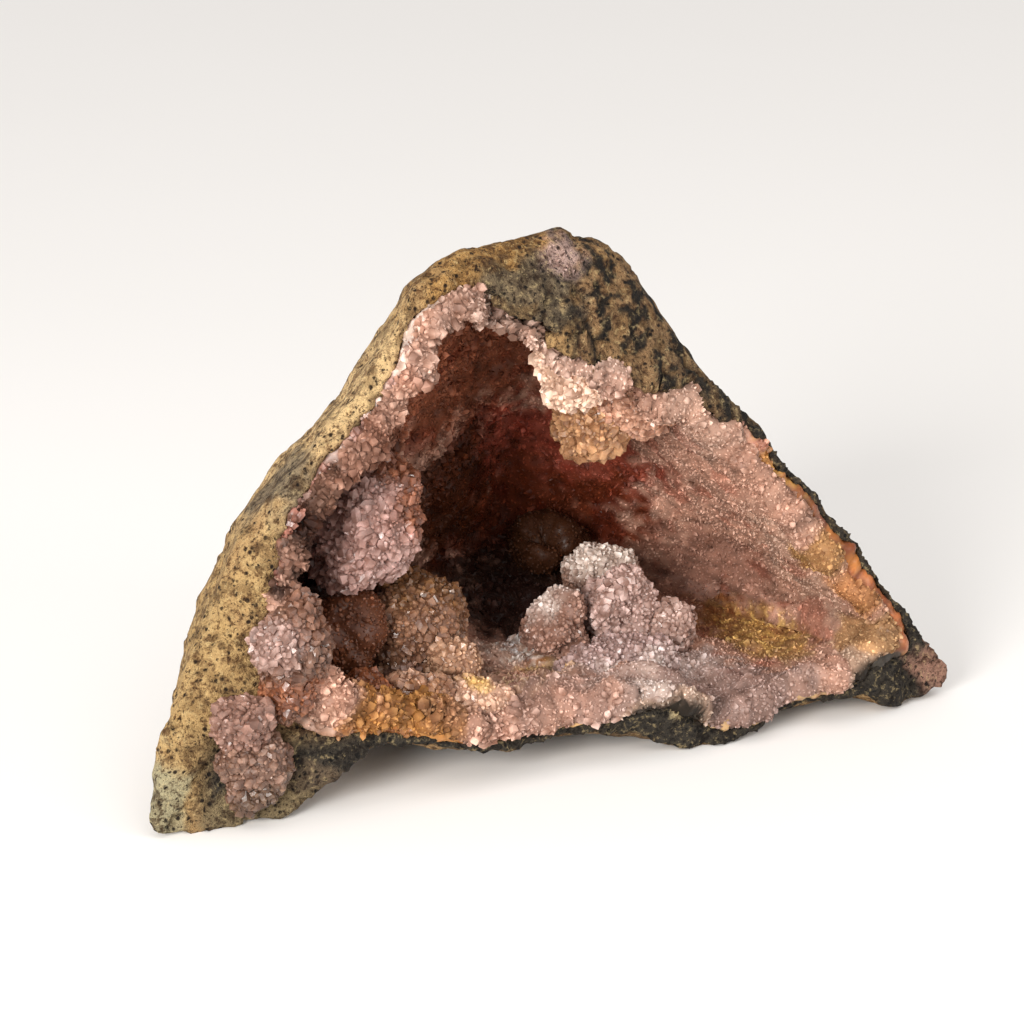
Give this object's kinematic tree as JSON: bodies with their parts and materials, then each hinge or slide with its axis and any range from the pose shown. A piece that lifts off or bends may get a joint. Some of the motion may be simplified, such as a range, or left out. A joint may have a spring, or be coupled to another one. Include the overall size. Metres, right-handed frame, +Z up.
{
  "type": "geode half",
  "caption": "Broken half of a pink quartz geode standing on its underside: tan weathered rind, agate band and a crystal-lined hollow with lumps of crystals.",
  "frame": {"origin": "middle of the bounding box on the ground", "axes": "+X to the right along the mouth as seen from the front, -Y out of the mouth, +Z up"},
  "size_m": [0.2188, 0.1036, 0.1305],
  "materials": {
    "host_rock": "weathered, pitted and matt",
    "agate": "waxy broken edge",
    "pink_druse": "sparkling crystal points",
    "lilac_crystals": "sparkling crystal points",
    "pale_crystals": "frosted crystal points",
    "smoky_quartz": "smooth and glassy"
  },
  "bodies": {
    "root": {"host_rock_rind": "host_rock", "agate_band": "agate", "druse_lining": "pink_druse", "crystal_club_upper_left": "lilac_crystals", "crystal_mound_left": "lilac_crystals", "smooth_quartz_knob": "smoky_quartz", "rim_crystals_left": "lilac_crystals", "foot_crystals_upper": "lilac_crystals", "foot_crystals_lower": "lilac_crystals", "pale_knob_left": "pale_crystals", "ochre_tipped_knob": "pale_crystals", "front_cluster_center": "pale_crystals", "front_cluster_left": "pale_crystals", "pale_cluster_right": "pale_crystals", "pale_cluster_far_right": "pale_crystals", "frosted_arch": "pale_crystals", "frosted_ridge": "lilac_crystals", "floor_ledge": "lilac_crystals", "back_mound": "smoky_quartz", "ceiling_cluster_upper": "pale_crystals", "ceiling_cluster_lower": "pale_crystals", "ceiling_cluster_right": "pale_crystals"}
  },
  "joints": []
}
